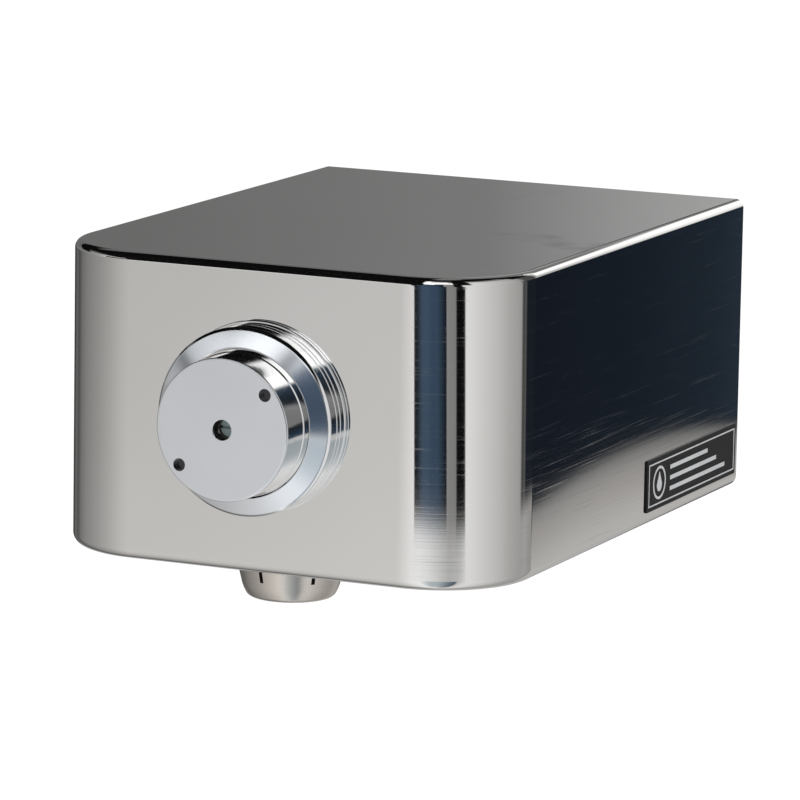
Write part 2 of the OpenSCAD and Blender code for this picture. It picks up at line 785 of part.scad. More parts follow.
// A bar that follows the tube's route; extra lengthens both of its ends.
module tube_path(r, extra = 0) {
    sides = 24;
    steps = 6;
    length = tube_end - tube_start;
    turns = [for (k = [0:steps]) run_angle * k / steps];
    first = [for (a = turns) [tube_bend_r * (1 - cos(a)), tube_lead + tube_bend_r * sin(a), a]];
    last = [for (k = [steps:-1:0]) [tube_dx - first[k][0], length - first[k][1], turns[k]]];
    stations = concat([[0, -extra, 0]], first, last, [[tube_dx, length + extra, 0]]);
    ends = len(stations) - 1;
    points = [for (p = stations, j = [0:sides - 1]) let (s = j * 360 / sides)
        [p[0] + r * cos(s) * cos(p[2]), r * sin(s), p[1] - r * cos(s) * sin(p[2])]];
    walls = [for (i = [0:ends - 1], j = [0:sides - 1])
        [i * sides + j, (i + 1) * sides + j, (i + 1) * sides + (j + 1) % sides, i * sides + (j + 1) % sides]];
    caps = [[for (j = [0:sides - 1]) j], [for (j = [sides - 1:-1:0]) ends * sides + j]];
    polyhedron(points = points, faces = concat(walls, caps), convexity = 4);
}

// The copper tube with its two bends, from the strainer to the valve.
module supply_tube() {
    color([0.72, 0.45, 0.3]) on_supply() translate([0, 0, tube_start]) difference() {
        tube_path(tube_r);
        tube_path(tube_r - tube_wall, 1);
    }
}

// A compression nut whose open end faces +Z from the given place.
module tube_nut(face) {
    difference() {
        hexagon(tube_nut_r, face, face + tube_nut_len);
        rod(tail_r + fit, face - 1, face + tube_nut_cavity);
        rod(tube_r + fit, face, face + tube_nut_len + 1);
    }
}

module tube_nuts() {
    color([0.72, 0.6, 0.35]) {
        on_supply() tube_nut(strainer_neck + 1);
        on_valve() translate([0, 0, body_rear - 1]) mirror([0, 0, 1]) tube_nut(0);
    }
}

module ferrules() {
    wide = tube_r + 2;
    cavity_end = 1 + tube_nut_cavity - fit;
    color([0.72, 0.6, 0.35]) {
        on_supply()
            ring(wide, tube_r + fit, strainer_neck + tail_len + fit, strainer_neck + cavity_end);
        on_valve() ring(wide, tube_r + fit, body_rear - cavity_end, tail_end - fit);
    }
}

housing();
hang_rail();
wall_plate();
weld_nuts();
cover_screws();
name_plate();
name_plate_rim();
name_plate_emblem();
base_ring();
bezel();
panel_gasket();
push_cap();
stem();
flow_screw();
return_spring();
poppet();
poppet_seal();
poppet_nut();
valve_body();
valve_seat();
cartridge_sleeve();
cartridge_nut();
sleeve_o_rings();
stem_o_ring();
outlet_gasket();
outlet_spud();
nozzle();
nozzle_screen();
flow_straightener();
snap_ring();
inlet_adapter();
adapter_screws();
stop_body();
stop_seats();
stop_ball();
stop_spindle();
packing_ring();
packing_nut();
strainer_body();
strainer_screen();
supply_tube();
tube_nuts();
ferrules();
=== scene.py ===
# %% [markdown]
# # A wall-mounted push-button water outlet
#
# The real object is a box of polished stainless sheet that hangs on a wall. One large round
# button stands out of its front, and a slotted nozzle points down under it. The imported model
# gives every piece its exact place, so this lesson only adds what CAD leaves out: soft edges,
# true metal finishes, and a studio for the metal to reflect.

# %% Load the fixed frame
import math

import bmesh
import bpy
from mathutils import Matrix, Vector


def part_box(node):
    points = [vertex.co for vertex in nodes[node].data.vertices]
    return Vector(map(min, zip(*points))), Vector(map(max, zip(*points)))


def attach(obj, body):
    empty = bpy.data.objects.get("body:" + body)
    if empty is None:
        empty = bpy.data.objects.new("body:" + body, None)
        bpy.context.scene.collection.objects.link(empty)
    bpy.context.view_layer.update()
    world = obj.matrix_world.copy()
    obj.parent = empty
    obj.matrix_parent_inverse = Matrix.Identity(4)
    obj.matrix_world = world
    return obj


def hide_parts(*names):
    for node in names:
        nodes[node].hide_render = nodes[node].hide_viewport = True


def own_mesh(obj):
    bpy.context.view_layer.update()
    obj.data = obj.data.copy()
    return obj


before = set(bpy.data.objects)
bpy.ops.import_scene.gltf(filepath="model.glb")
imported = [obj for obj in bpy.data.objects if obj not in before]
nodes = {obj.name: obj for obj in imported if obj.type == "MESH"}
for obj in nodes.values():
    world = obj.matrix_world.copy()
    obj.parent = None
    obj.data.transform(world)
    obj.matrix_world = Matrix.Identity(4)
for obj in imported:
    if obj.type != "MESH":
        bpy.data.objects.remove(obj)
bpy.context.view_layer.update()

# %% [markdown]
# ## The camera
#
# A product shot of a box is taken from far away with a long lens, so that its edges stay
# nearly parallel. The camera is placed by its turn round the object, its height, its small
# roll and its distance. Those numbers are easier to read than a matrix, and the matrix
# follows from them.

# %% Place the camera
TURN, RISE, ROLL = 24.286, 10.298, 0.989
DISTANCE, FOCAL_LENGTH, SENSOR = 1.9546, 252.91, 36
AIM_Y, AIM_LEFT, AIM_DOWN = -0.0612, 0.01995, 0.01778

turn, rise, roll = (math.radians(v) for v in (TURN, RISE, ROLL))
back = Vector((math.sin(turn) * math.cos(rise), -math.cos(turn) * math.cos(rise), math.sin(rise)))
level = Vector((0, 0, 1)).cross(back).normalized()
upright = back.cross(level)
right = math.cos(roll) * level + math.sin(roll) * upright
up = math.cos(roll) * upright - math.sin(roll) * level
aim = Vector((0, AIM_Y, 0)) - AIM_LEFT * right - AIM_DOWN * up

lens = bpy.data.cameras.new("long_lens")
lens.lens, lens.sensor_width = FOCAL_LENGTH, SENSOR
lens.clip_start, lens.clip_end = 0.05, 100
camera = bpy.data.objects.new("camera", lens)
turned = Matrix((right, up, back)).transposed().to_4x4()
camera.matrix_world = Matrix.Translation(aim + DISTANCE * back) @ turned
bpy.context.scene.collection.objects.link(camera)
bpy.context.scene.camera = camera
print("camera at", [round(v, 3) for v in camera.matrix_world.translation])

# %% [markdown]
# ## The room
#
# The floor is a wide pale sheet well below the object, and the world is an even white. With
# the plain view transform a white floor stays white, as on a catalogue page.

# %% Even light
scene = bpy.context.scene
scene.view_settings.view_transform = "Standard"
scene.view_settings.look = "None"
world = bpy.data.worlds.new("even_light")
world.use_nodes = True
sky = world.node_tree.nodes["Background"].inputs
sky["Color"].default_value = (1.0, 0.995, 0.985, 1)
sky["Strength"].default_value = 1.1
scene.world = world
print("even light of strength", round(sky["Strength"].default_value, 2))

# %% [markdown]
# Four small helpers come first, because every later step makes an object or a material. One
# turns a bmesh into an object, one makes an empty material, one adds a shader node, and one
# joins two of them.

# %% Object and material helpers


def new_object(name, bm):
    """Turns a finished bmesh into an object at the origin."""
    mesh = bpy.data.meshes.new(name)
    bm.to_mesh(mesh)
    bm.free()
    made = bpy.data.objects.new(name, mesh)
    scene.collection.objects.link(made)
    return made


def new_material(name):
    """A material without any nodes yet."""
    made = bpy.data.materials.new(name)
    made.use_nodes = True
    made.node_tree.nodes.clear()
    return made


def add(mat, kind, **settings):
    """Adds one shader node. A setting is a property of the node, or the name of an input."""
    made = mat.node_tree.nodes.new("ShaderNode" + kind)
    for key, value in settings.items():
        if hasattr(made, key):
            setattr(made, key, value)
        else:
            made.inputs[key.replace("_", " ")].default_value = value
    return made


def join(mat, out, into):
    """Links an output to an input."""
    mat.node_tree.links.new(out, into)


print("helpers for objects and materials are ready")

# %% [markdown]
# The floor lies so deep that the cards of the next step clear it, and it is so wide that its
# edge is never seen.

# %% Pale floor
FLOOR_Z, FLOOR_HALF = -1.6, 30

bm = bmesh.new()
bmesh.ops.create_grid(bm, x_segments=2, y_segments=2, size=FLOOR_HALF)
bmesh.ops.translate(bm, verts=bm.verts, vec=(0, 0, FLOOR_Z))
floor = new_object("floor", bm)
floor_paint = new_material("floor_paint")
paint = add(floor_paint, "BsdfPrincipled", Base_Color=(0.96, 0.96, 0.96, 1), Roughness=0.9)
join(floor_paint, paint.outputs[0], add(floor_paint, "OutputMaterial").inputs[0])
floor.data.materials.append(floor_paint)
print("floor at", FLOOR_Z, "m")

# %% [markdown]
# ## What the metal sees
#
# Polished metal has almost no colour of its own. It shows the studio: long pale sheets, a
# dark blue screen, a black flag at each edge. Each of these is a curved card that stands
# round the object and shines evenly. A card is a grid whose points are moved onto a ball. Its
# colours run across it, and its edges fade out. Cards are seen only in reflections.
#
# A direction is given as two angles. Azimuth 0 looks straight out of the front panel and
# grows towards the right side wall, and elevation is above the horizon.

# %% The card helper
MIDDLE = Vector((0, -0.11, 0))
STRENGTH_FROM, STRENGTH_TO = 0.80, 0.93
LEAN_MIDDLE, LEAN_LIMIT = -10, 8


def only_in_reflections(thing):
    """Hides a card from everything but glossy rays."""
    thing.visible_camera = False
    thing.visible_diffuse = False
    thing.visible_shadow = False
    thing.visible_transmission = False
    thing.visible_volume_scatter = False


def glow(name, stops, fade, tilt=(1, 1), along="X"):
    """Light that follows the colour stops across a card, or up it with along Y. The shares in
    fade soften its left, right, lower and upper edges. tilt is its strength low and high."""
    mat = new_material(name)
    split = add(mat, "SeparateXYZ")
    join(mat, add(mat, "UVMap", uv_map="card").outputs[0], split.inputs[0])
    ramp = add(mat, "ValToRGB")
    points = ramp.color_ramp.elements
    while len(points) < len(stops):
        points.new(0.5)
    for point, (place, colour) in zip(points, stops):
        point.position = place
        point.color = (*colour, 1)
    join(mat, split.outputs[along], ramp.inputs[0])
    shine = add(mat, "Emission")
    join(mat, ramp.outputs[0], shine.inputs["Color"])
    if tilt != (1, 1):
        fall = add(mat, "MapRange", From_Min=STRENGTH_FROM, From_Max=STRENGTH_TO,
                   To_Min=tilt[0], To_Max=tilt[1])
        join(mat, split.outputs["Y"], fall.inputs["Value"])
        join(mat, fall.outputs[0], shine.inputs["Strength"])
    mask = None
    for axis, width, flip in zip("XXYY", fade, (0, 1, 0, 1)):
        if width <= 0:
            continue
        edge = add(mat, "MapRange", interpolation_type="SMOOTHSTEP",
                   From_Min=1.0 if flip else 0.0, From_Max=1.0 - width if flip else width)
        join(mat, split.outputs[axis], edge.inputs["Value"])
        if mask is None:
            mask = edge.outputs[0]
        else:
            both = add(mat, "Math", operation="MULTIPLY")
            join(mat, mask, both.inputs[0])
            join(mat, edge.outputs[0], both.inputs[1])
            mask = both.outputs[0]
    out = add(mat, "OutputMaterial")
    if mask is None:
        join(mat, shine.outputs[0], out.inputs[0])
    else:
        mix = add(mat, "MixShader")
        join(mat, mask, mix.inputs[0])
        join(mat, add(mat, "BsdfTransparent").outputs[0], mix.inputs[1])
        join(mat, shine.outputs[0], mix.inputs[2])
        join(mat, mix.outputs[0], out.inputs[0])
    return mat


def card_grid(columns, rows):
    """A unit grid round the origin, with its shares across and up kept as a UV map."""
    sheet = bmesh.new()
    bmesh.ops.create_grid(sheet, x_segments=columns, y_segments=rows, size=0.5)
    place = sheet.loops.layers.uv.new("card")
    for face in sheet.faces:
        for corner in face.loops:
            corner[place].uv = (corner.vert.co.x + 0.5, corner.vert.co.y + 0.5)
    return sheet


def hang_card(name, sheet, stops, fade, tilt=(1, 1), along="X"):
    """Makes the card's object, gives it its light and hides it from the camera."""
    made = new_object(name, sheet)
    made.data.materials.append(glow(name, stops, fade, tilt, along))
    only_in_reflections(made)


def card(name, az, el, stops, fade=(0, 0, 0, 0), tilt=(1, 1), lean=0.0, reach=1.2):
    """A card on a ball of radius reach, from azimuth az[0] to az[1] and elevation el[0] to el[1].
    Its upright edges lean by lean degrees for each degree of height round LEAN_MIDDLE."""
    sheet = card_grid(32, 16)
    for v in sheet.verts:
        height = el[0] + (el[1] - el[0]) * (v.co.y + 0.5)
        lean_by = lean * max(-LEAN_LIMIT, min(LEAN_LIMIT, height - LEAN_MIDDLE))
        a = math.radians(az[0] + (az[1] - az[0]) * (v.co.x + 0.5) + lean_by)
        e = math.radians(height)
        v.co = MIDDLE + reach * Vector(
            (math.sin(a) * math.cos(e), -math.cos(a) * math.cos(e), math.sin(e)))
    hang_card(name, sheet, stops, fade, tilt)


def grey(v, warm=0.0):
    """A grey of brightness v, a little warm above zero and a little cold below."""
    return (v * (1 + warm), v, v * (1 - warm))


def spread(az, *pairs):
    """Colour stops at true azimuths, as shares of a card from az[0] to az[1]."""
    return [((a - az[0]) / (az[1] - az[0]), c) for a, c in pairs]


print("card helpers are ready, the ball's middle is at", tuple(round(v, 2) for v in MIDDLE))

# %% [markdown]
# The long pale sheet faces the front panel and wraps round the left side, where it grows
# darker. Next to it stand a dark blue screen, a grey strip and a black flag, and then a
# second pale sheet on the right. Their edges make the upright bands in the right-hand
# front corner.

# %% Pale sheet, blue screen, flag
LEAN = -0.78

wash_az = (-185, 62)
card("front_sheet", wash_az, (-89, 3), spread(wash_az,
     (-175, grey(0.03)), (-135, grey(0.04)), (-128, grey(0.06)), (-122, grey(0.13)),
     (-117, grey(0.125)), (-112, grey(0.08)), (-107.5, grey(0.11)), (-101, grey(0.18, 0.01)),
     (-96, grey(0.205, 0.01)), (-88, grey(0.25, 0.015)), (-80, grey(0.28, 0.02)),
     (-66, grey(0.338, 0.02)), (-51, grey(0.42, 0.025)), (-35, grey(0.535, 0.02)),
     (-26, grey(0.58, 0.015)), (-20, grey(0.63, 0.015)), (-12, grey(0.72, 0.01)), (-4, grey(0.82, 0.005)),
     (4, grey(0.86, -0.01)), (14, grey(0.78)), (24, grey(0.64)), (36, grey(0.47)),
     (46, grey(0.52)), (54, grey(0.72))), fade=(0, 0, 0, 0.03), tilt=(1.16, 0.96))
blue_az = (-3.0, 32)
card("blue_screen", blue_az, (-12.4, 24), spread(blue_az,
     (-3, (0.008, 0.008, 0.010)), (1.5, (0.02, 0.026, 0.036)), (6, (0.055, 0.085, 0.13)),
     (11, (0.055, 0.092, 0.145)), (16, (0.042, 0.075, 0.125)), (22, (0.042, 0.072, 0.118)),
     (27, (0.02, 0.035, 0.055)), (30, (0.008, 0.012, 0.02))),
     fade=(0.03, 0.03, 0.03, 0.1), lean=LEAN, reach=1.18)
card("grey_strip", (31, 42), (-12.6, 24), [(0, grey(0.27)), (1, grey(0.24))],
     fade=(0.1, 0.1, 0.03, 0.1), lean=LEAN, reach=1.17)
card("black_flag", (40.5, 51), (-12.5, 60), [(0, grey(0.003)), (0.7, grey(0.004)), (1, grey(0.02))],
     fade=(0.12, 0.12, 0.015, 0.05), lean=LEAN, reach=1.16)
side_az = (50, 168)
card("side_sheet", side_az, (-89, 3), spread(side_az,
     (50, grey(0.86)), (56, grey(0.84)), (71, grey(0.71, 0.01)), (81, grey(0.64, 0.01)),
     (91, grey(0.57, 0.01)), (102, grey(0.48, 0.02)), (114, grey(0.42, 0.02)),
     (121.5, grey(0.37, 0.01)), (123.6, grey(0.075)), (126, grey(0.07)), (129.5, grey(0.10)),
     (131.5, (0.011, 0.015, 0.022)), (168, (0.010, 0.0145, 0.022))),
     fade=(0.012, 0.05, 0, 0.03), lean=LEAN, reach=1.19)
print("front sheet, blue screen, grey strip, black flag and side sheet stand")

# %% [markdown]
# Low down the cards are pale, so the dark bands fade out towards the foot of the housing.
# They also light its underside.

# %% Low cards
low_az = (112, 174)
card("side_low", low_az, (-89, -12.2), spread(low_az,
     (112, grey(0.46, 0.01)), (118, grey(0.42, 0.01)), (125, grey(0.39, 0.01)), (134, grey(0.41, 0.02)),
     (143, grey(0.345, 0.03)), (150, grey(0.33, 0.03)), (160, grey(0.48, 0.03)), (170, grey(0.5, 0.03))),
     fade=(0.12, 0, 0, 0.01), reach=1.14)
card("low_blue", (4, 46), (-80, -14.3), [(0, (0.60, 0.66, 0.69)), (0.5, (0.45, 0.50, 0.53)),
     (0.8, (0.16, 0.20, 0.24)), (1, (0.06, 0.08, 0.11))], fade=(0.3, 0.08, 0.3, 0.01), reach=1.15)
card("rear_low", (-192, -122), (-89, -20), [(0, grey(0.5)), (1, grey(0.42))],
     fade=(0, 0.1, 0, 0.12), reach=1.13)
print("low cards stand")

# %% [markdown]
# Above the horizon black canopies and flags hang in front and to the right, so the bend
# along the top edge shows a thin dark line. A ceiling and pale upper sheets close the rest.

# %% Ceiling, canopies and upper sheets
BLACK = [(0, grey(0.004)), (1, grey(0.004))]
card("ceiling", (-181, 181), (40, 89.5), [(0, grey(0.2)), (1, grey(0.2))], reach=1.3)
card("black_canopy", (-36, 4), (3, 25.5), BLACK, fade=(0.15, 0.02, 0.12, 0.1), reach=1.15)
card("left_canopy", (-58, -32), (3, 14), BLACK, fade=(0.1, 0, 0.2, 0.2), reach=1.16)
upper_az = (-180, 16)
card("upper_sheet", upper_az, (1, 58), spread(upper_az,
     (-120, grey(0.18)), (-92, grey(0.24)), (-70, grey(0.36)), (-56, grey(0.6)), (-40, grey(0.95)),
     (-25, grey(1.4)), (0, grey(1.5))), fade=(0.1, 0.05, 0.02, 0.15), reach=1.22)
upper_side = (34, 162)
card("upper_side_sheet", upper_side, (0, 47), spread(upper_side,
     (34, grey(0.86)), (60, grey(0.8)), (71, grey(0.70)), (91, grey(0.56)), (114, grey(0.40)),
     (119, grey(0.3)), (123, grey(0.09)), (143, grey(0.07)), (150, grey(0.5))),
     fade=(0.05, 0.1, 0.02, 0.08), reach=1.23)
print("ceiling, canopies and upper sheets hang")

# %% [markdown]
# More flags keep the upper corner dark. Small bright lamps give the corner and the button
# their highlights. Behind the object a grey card gives the top its tone, and a soft lamp
# makes the pale line along the right-hand edge of the top.

# %% Flags and lamps
card("overhead_flag", (-100, 152), (55, 81), BLACK, fade=(0.1, 0.01, 0.08, 0.1), reach=1.12)
card("corner_flag", (112, 152), (33, 57), BLACK, fade=(0.1, 0.05, 0.15, 0), reach=1.12)
card("flag_flare", (37, 56), (12, 60), BLACK, fade=(0.15, 0.2, 0.1, 0), reach=1.13)
card("corner_lamp", (11, 32), (32, 46), [(0, grey(1.6)), (1, grey(1.6))],
     fade=(0.25, 0.2, 0.2, 0.2), reach=1.1)
top_az = (-200, -110)
card("rear_grey", top_az, (2, 60), spread(top_az,
     (-180, grey(0.2)), (-172, grey(0.3)), (-165.5, grey(0.43)), (-161.5, grey(0.32)), (-158, grey(0.21)),
     (-154, grey(0.19)), (-149, grey(0.163)), (-130, grey(0.15))), fade=(0.1, 0.1, 0.07, 0.3))
card("button_lamp", (4, 17), (18, 30), [(0, grey(1.6)), (1, grey(1.6))],
     fade=(0.2, 0.2, 0.2, 0.2), reach=1.1)
card("rear_lamp", (150, 181), (-3, 27), [(0, grey(1.3)), (1, grey(1.3))],
     fade=(0.1, 0.15, 0.9, 0.1), reach=1.1)
card("rim_line", (-172, -157), (13.5, 21), BLACK, fade=(0.1, 0.2, 0.15, 0.3), reach=1.09)
print("flags and lamps hang")

# %% [markdown]
# Beside the right wall hangs a dark screen with a pale one below it. The wall is flat, so
# flat cards are easier to place for it than cards on the ball. A shallow curve bends the
# border between dark and pale. Two thin black flags lie level over the front edge.

# %% Side screens and edge flags
SAG_SHARE, SAG_Y, FLAT_BEFORE_Y = 0.6, 0.57, 0.44
EDGE_FLAG_Z = 0.078


def flat_card(name, corner, across, up_by, stops, fade, along="Y", sag=0.0):
    """A flat card from one corner along two sides. sag bends it down away from SAG_Y."""
    sheet = card_grid(16, 8)
    for v in sheet.verts:
        u, w = v.co.x + 0.5, v.co.y + 0.5
        v.co = Vector(corner) + u * Vector(across) + w * Vector(up_by)
        v.co.z -= sag * (max(v.co.y, FLAT_BEFORE_Y) - SAG_Y) ** 2
    hang_card(name, sheet, stops, fade, along=along)


flat_card("dark_side_screen", (0.35, 0.38, -0.160), (0, 0.62, 0), (0, 0, 0.18),
          [(0.03, (0.0075, 0.010, 0.0165)), (0.31, (0.010, 0.0155, 0.024)),
           (0.48, (0.015, 0.023, 0.034)), (0.56, (0.024, 0.036, 0.055))],
          (0.04, 0, 0.04, 0.15), "X", SAG_SHARE)
flat_card("pale_side_screen", (0.352, 0.38, -0.6), (0, 0.62, 0), (0, 0, 0.45),
          [(0.0, grey(0.54, 0.02)), (0.905, grey(0.53, 0.02)), (0.92, grey(0.49, 0.02)),
           (0.94, grey(0.40, 0.03)), (0.955, grey(0.36, 0.03)), (0.968, grey(0.29, 0.02)),
           (0.980, grey(0.17)), (0.988, grey(0.08, -0.03))],
          (0.04, 0, 0, 0), "Y", SAG_SHARE)
flat_card("edge_flag", (-0.16, -0.30, EDGE_FLAG_Z), (0.218, 0, 0), (0, 0.10, 0), BLACK,
          (0.25, 0.02, 0, 0))
flat_card("left_edge_flag", (-0.24, -0.21, EDGE_FLAG_Z), (0.16, 0, 0), (0, 0.06, 0), BLACK,
          (0.1, 0.1, 0, 0))
print("side screens and edge flags hang")

# %% [markdown]
# ## Modelling helpers
#
# Round pieces are turned: half of the outline is drawn as a closed wire, its corners are
# rounded, and the wire is spun once round its axis. The spin merges its last ring with its
# first. Afterwards sharp corners are marked, and weighted normals keep the flats flat while
# the small roundings carry the highlight.

# %% Wire, spin and finish
MM = 0.001
SHARP_ANGLE = 32

ring_low, ring_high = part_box("base_ring")
nozzle_low, nozzle_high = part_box("nozzle")
VALVE_Z = (ring_low.z + ring_high.z) / 2
OUTLET_Y = (nozzle_low.y + nozzle_high.y) / 2
ON_VALVE = Matrix.Translation((0, 0, VALVE_Z)) @ Matrix.Rotation(math.radians(90), 4, "X")
ON_OUTLET = Matrix.Translation((0, OUTLET_Y, 0))
print("valve axis at z", round(VALVE_Z / MM, 2), "and outlet axis at y", round(OUTLET_Y / MM, 2))


def turned_piece(outline, place, steps=160):
    """Spins a closed outline of (radius, height, rounding) in millimetres round its axis."""
    bm = bmesh.new()
    ring = [bm.verts.new((r * MM, 0, z * MM)) for r, z, _ in outline]
    for a, b in zip(ring, ring[1:] + ring[:1]):
        bm.edges.new((a, b))
    for vert, (_, _, rounding) in zip(ring, outline):
        if rounding:
            bmesh.ops.bevel(bm, geom=[vert], offset=rounding * MM, affect="VERTICES",
                            offset_type="OFFSET", segments=4, profile=0.5, material=-1)
    bmesh.ops.spin(bm, geom=bm.verts[:] + bm.edges[:], cent=(0, 0, 0), axis=(0, 0, 1),
                   dvec=(0, 0, 0), angle=math.tau, steps=steps, use_merge=True)
    bmesh.ops.remove_doubles(bm, verts=bm.verts, dist=1e-6)
    bmesh.ops.recalc_face_normals(bm, faces=bm.faces)
    bmesh.ops.transform(bm, matrix=place, verts=bm.verts)
    return bm


def soften(thing):
    """Smooth shading, sharp marks over the sharp angle, and weighted normals."""
    bm = bmesh.new()
    bm.from_mesh(thing.data)
    for face in bm.faces:
        face.smooth = True
    for edge in bm.edges:
        edge.smooth = len(edge.link_faces) == 2 and edge.calc_face_angle(0) < math.radians(SHARP_ANGLE)
    bm.to_mesh(thing.data)
    bm.free()
    weigh = thing.modifiers.new("flats_stay_flat", "WEIGHTED_NORMAL")
    weigh.keep_sharp = True
    weigh.weight = 80


def finish_piece(name, bm, body, replaced):
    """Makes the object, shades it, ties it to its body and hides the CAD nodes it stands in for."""
    made = new_object(name, bm)
    soften(made)
    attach(made, body)
    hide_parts(*replaced)
    print(name, "has", len(made.data.polygons), "faces")
    return made


print("helpers for turned pieces are ready")

# %% [markdown]
# Holes and slots are cut with an exact boolean, which needs two closed solids. Round cutters
# are rods. After a cut the rim is rounded, because a sharp rim never catches the light.

# %% Cutting helpers


def cut(bm, cutter):
    """Takes the cutter's solid out of the piece and returns a new bmesh."""
    body, tool = new_object("cut_body", bm), new_object("cut_tool", cutter)
    knife = body.modifiers.new("knife", "BOOLEAN")
    knife.operation, knife.solver, knife.object = "DIFFERENCE", "EXACT", tool
    result = body.evaluated_get(bpy.context.evaluated_depsgraph_get()).to_mesh()
    made = bmesh.new()
    made.from_mesh(result)
    for thing in (body, tool):
        bpy.data.objects.remove(thing)
    return made


def rod(bm, radius, low, high, place, sides=96):
    """Adds a closed round rod from height low to high, in millimetres, to a cutter."""
    turn = place @ Matrix.Translation((0, 0, (low + high) / 2 * MM))
    bmesh.ops.create_cone(bm, cap_ends=True, segments=sides, radius1=radius * MM,
                          radius2=radius * MM, depth=(high - low) * MM, matrix=turn)


def round_rims(bm, centre, axis, radius, size, level):
    """Rounds the circular edge of a given radius that lies at a level along an axis."""
    axis = Vector(axis)
    near = 0.02 * MM

    def on_rim(v):
        arm = v.co - Vector(centre)
        along = arm.dot(axis)
        flat = (arm - along * axis).length
        return abs(flat - radius) < near and abs(along - level) < near

    rim = [e for e in bm.edges if on_rim(e.verts[0]) and on_rim(e.verts[1])
           and len(e.link_faces) == 2 and e.calc_face_angle(0) > 0.6]
    bmesh.ops.bevel(bm, geom=rim, offset=size, affect="EDGES", segments=3, profile=0.5,
                    material=-1, clamp_overlap=True)
    return len(rim)


print("helpers for holes are ready")

# %% [markdown]
# ## The housing
#
# The housing is folded and welded from 1.5 mm sheet. Its plan is a rectangle with two large
# front corners. The plan is drawn with four points, two of them are rounded, and the face is
# pulled up. The upper and lower edges get their bends, the rear face is taken away, and the
# shell is thickened inwards. Last, the holes are cut, and the rim of the nozzle's is rounded.

# %% Fold the housing
house_low, house_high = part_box("housing")
CORNER, TOP_BEND, LOW_BEND, SHEET = 33 * MM, 2.8 * MM, 3.6 * MM, 1.5 * MM
CORNER_STEPS, BEND_STEPS = 48, 10

bm = bmesh.new()
plan = [bm.verts.new((x, y, house_low.z)) for x, y in (
    (house_low.x, house_high.y), (house_low.x, house_low.y),
    (house_high.x, house_low.y), (house_high.x, house_high.y))]
bm.faces.new(plan)
bmesh.ops.bevel(bm, geom=plan[1:3], offset=CORNER, affect="VERTICES", segments=CORNER_STEPS,
                profile=0.5, material=-1)
pulled = bmesh.ops.extrude_face_region(bm, geom=bm.faces[:])
raised = [g for g in pulled["geom"] if isinstance(g, bmesh.types.BMVert)]
bmesh.ops.translate(bm, verts=raised, vec=(0, 0, house_high.z - house_low.z))
bmesh.ops.recalc_face_normals(bm, faces=bm.faces)
print("block with", len(bm.faces), "faces")


def level_edges(bm, z):
    """Edges that lie at height z, without the one on the wall."""
    return [e for e in bm.edges if all(abs(v.co.z - z) < 1e-6 for v in e.verts)
            and not all(abs(v.co.y - house_high.y) < 1e-6 for v in e.verts)]


for level_z, bend in ((house_high.z, TOP_BEND), (house_low.z, LOW_BEND)):
    bmesh.ops.bevel(bm, geom=level_edges(bm, level_z), offset=bend, affect="EDGES",
                    segments=BEND_STEPS, profile=0.5, material=-1)
rear = [f for f in bm.faces if all(abs(v.co.y - house_high.y) < 1e-6 for v in f.verts)]
bmesh.ops.delete(bm, geom=rear, context="FACES")
bmesh.ops.remove_doubles(bm, verts=bm.verts, dist=1e-6)
bmesh.ops.recalc_face_normals(bm, faces=bm.faces)
bmesh.ops.solidify(bm, geom=bm.faces[:], thickness=SHEET)
print("shell with", len(bm.faces), "faces")

# %% [markdown]
# The front panel has one hole for the valve's neck. The underside has one for the nozzle and
# two for the screws that hold the cover.

# %% Cut its holes
NECK_HOLE_R, NOZZLE_HOLE_R, SCREW_HOLE_R = 17.5, 18.9, 3.0
SCREW_X, SCREW_Y = 50, -12
THROUGH_FRONT, THROUGH_UNDERSIDE = (210, 225), (-56, -46)
RIM_ROUND = 0.3

holes = bmesh.new()
rod(holes, NECK_HOLE_R, *THROUGH_FRONT, ON_VALVE)
rod(holes, NOZZLE_HOLE_R, *THROUGH_UNDERSIDE, ON_OUTLET)
for side in (-1, 1):
    screw_place = Matrix.Translation((side * SCREW_X * MM, SCREW_Y * MM, 0))
    rod(holes, SCREW_HOLE_R, *THROUGH_UNDERSIDE, screw_place, 48)
bm = cut(bm, holes)
rounded = round_rims(bm, (0, OUTLET_Y, 0), (0, 0, 1), NOZZLE_HOLE_R * MM, RIM_ROUND * MM, house_low.z)
housing = finish_piece("housing_shell", bm, "frame", ["housing"])
print("rounded", rounded, "edges of the nozzle's hole")

# %% [markdown]
# ## The button
#
# Three turned pieces make the button: a grooved ring against the panel, a bezel with two
# fine grooves and a cone, and the cap that is pushed. All have small edge breaks from the
# lathe. Heights along the valve's axis are distances from the wall.

# %% Base ring and bezel
PANEL, RING_FRONT, BEZEL_EDGE, BEZEL_TIP, BEZEL_FLOOR = 217, 220.4, 231.0, 233.2, 226.0
NECK_R, RING_R, BEZEL_R, BEZEL_BORE_R = 17.1, 31.5, 30.9, 24.0
GROOVE, GROOVE_GAP = 0.6, 2.6
RING_GROOVE = PANEL + 0.4 * (RING_FRONT - PANEL)


def groove(radius, low):
    """The four outline points of a square groove in a round side."""
    return [(radius, low, 0.1), (radius - GROOVE, low, 0), (radius - GROOVE, low + GROOVE, 0),
            (radius, low + GROOVE, 0.1)]


